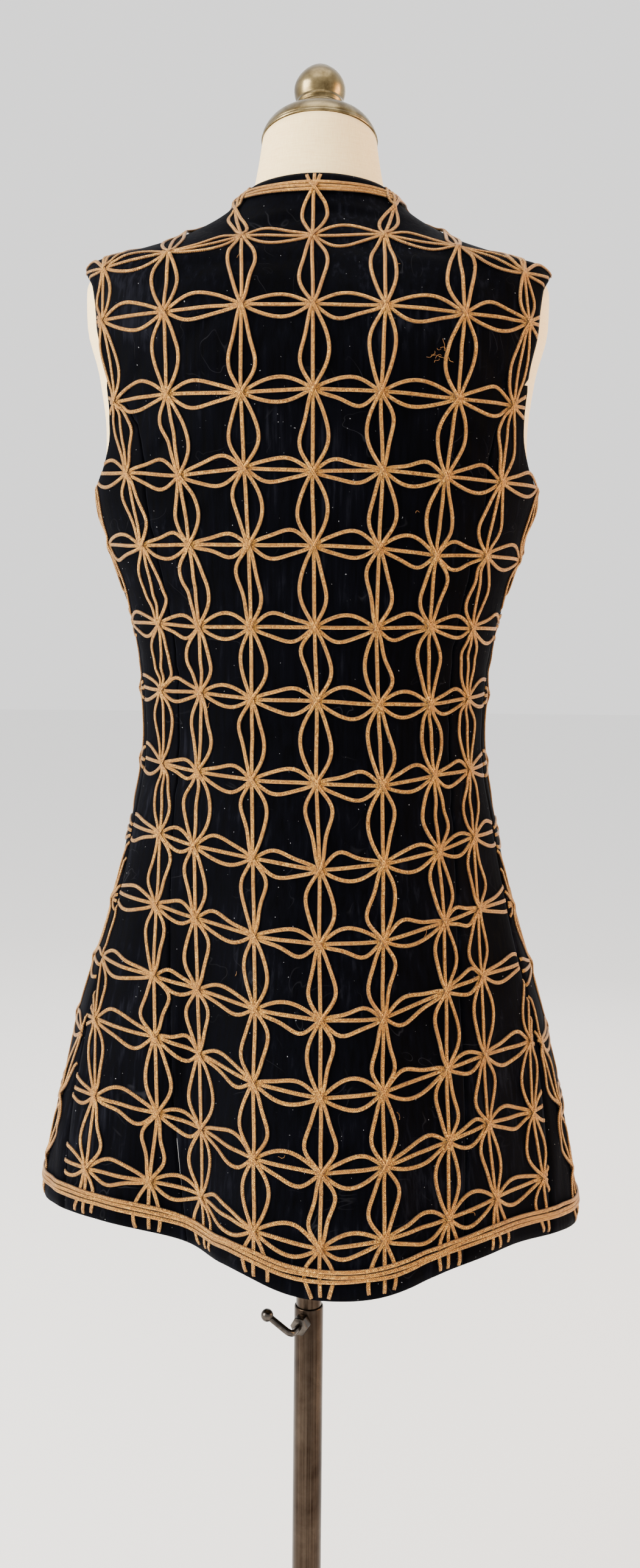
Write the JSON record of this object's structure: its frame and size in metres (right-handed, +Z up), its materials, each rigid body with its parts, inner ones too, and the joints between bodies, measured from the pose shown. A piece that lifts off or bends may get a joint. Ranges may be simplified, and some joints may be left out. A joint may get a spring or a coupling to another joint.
{
  "type": "embroidered folk vest on dress form",
  "caption": "Long sleeveless velvet vest with a couched gold cord trellis, worn by a limbless dress form on a height-adjustable stand.",
  "frame": {"origin": "centre of the base plate's underside, on the axis of the pole", "axes": "+Z up along the pole, +Y towards the vest's front opening, +X towards the wearer's right"},
  "size_m": [0.4616, 0.3401, 1.5246],
  "materials": {
    "velvet": "cotton velvet, short nap, black with a blue cast",
    "gold_cord": "plaited gold thread cord, soft metallic sheen",
    "linen": "plain natural linen, matte",
    "aged_brass": "antique brass, brown patina, polished",
    "bronzed_steel": "dark bronze plating, drawn along the tube",
    "dark_steel": "gunmetal, semi-gloss",
    "base_paint": "dark bronze enamel, satin"
  },
  "bodies": {
    "stand": {"base_plate": "base_paint", "base_socket": "bronzed_steel", "outer_tube": "bronzed_steel", "lock_nut": "dark_steel"},
    "form": {"inner_tube": "bronzed_steel", "torso_plate": "dark_steel", "torso": "linen", "neck_cap": "aged_brass", "cap_finial": "aged_brass", "back_centre": "velvet", "back_side_left": "velvet", "back_side_right": "velvet", "front_left": "velvet", "front_right": "velvet", "hem_braid": "gold_cord", "neck_braid": "gold_cord", "front_braid_left": "gold_cord", "front_braid_right": "gold_cord"},
    "lever": {"lock_lever": "dark_steel"}
  },
  "joints": [
    {"name": "height_slide", "type": "slide", "parent": "stand", "child": "form", "axis": [0, 0, 1], "range_m": [-0.06, 0.2]},
    {"name": "lock_turn", "type": "hinge", "parent": "stand", "child": "lever", "pos_m": [0, 0, 0.431], "axis": [-0.3746, -0.9272, 0], "range_deg": [-30, 330]}
  ]
}
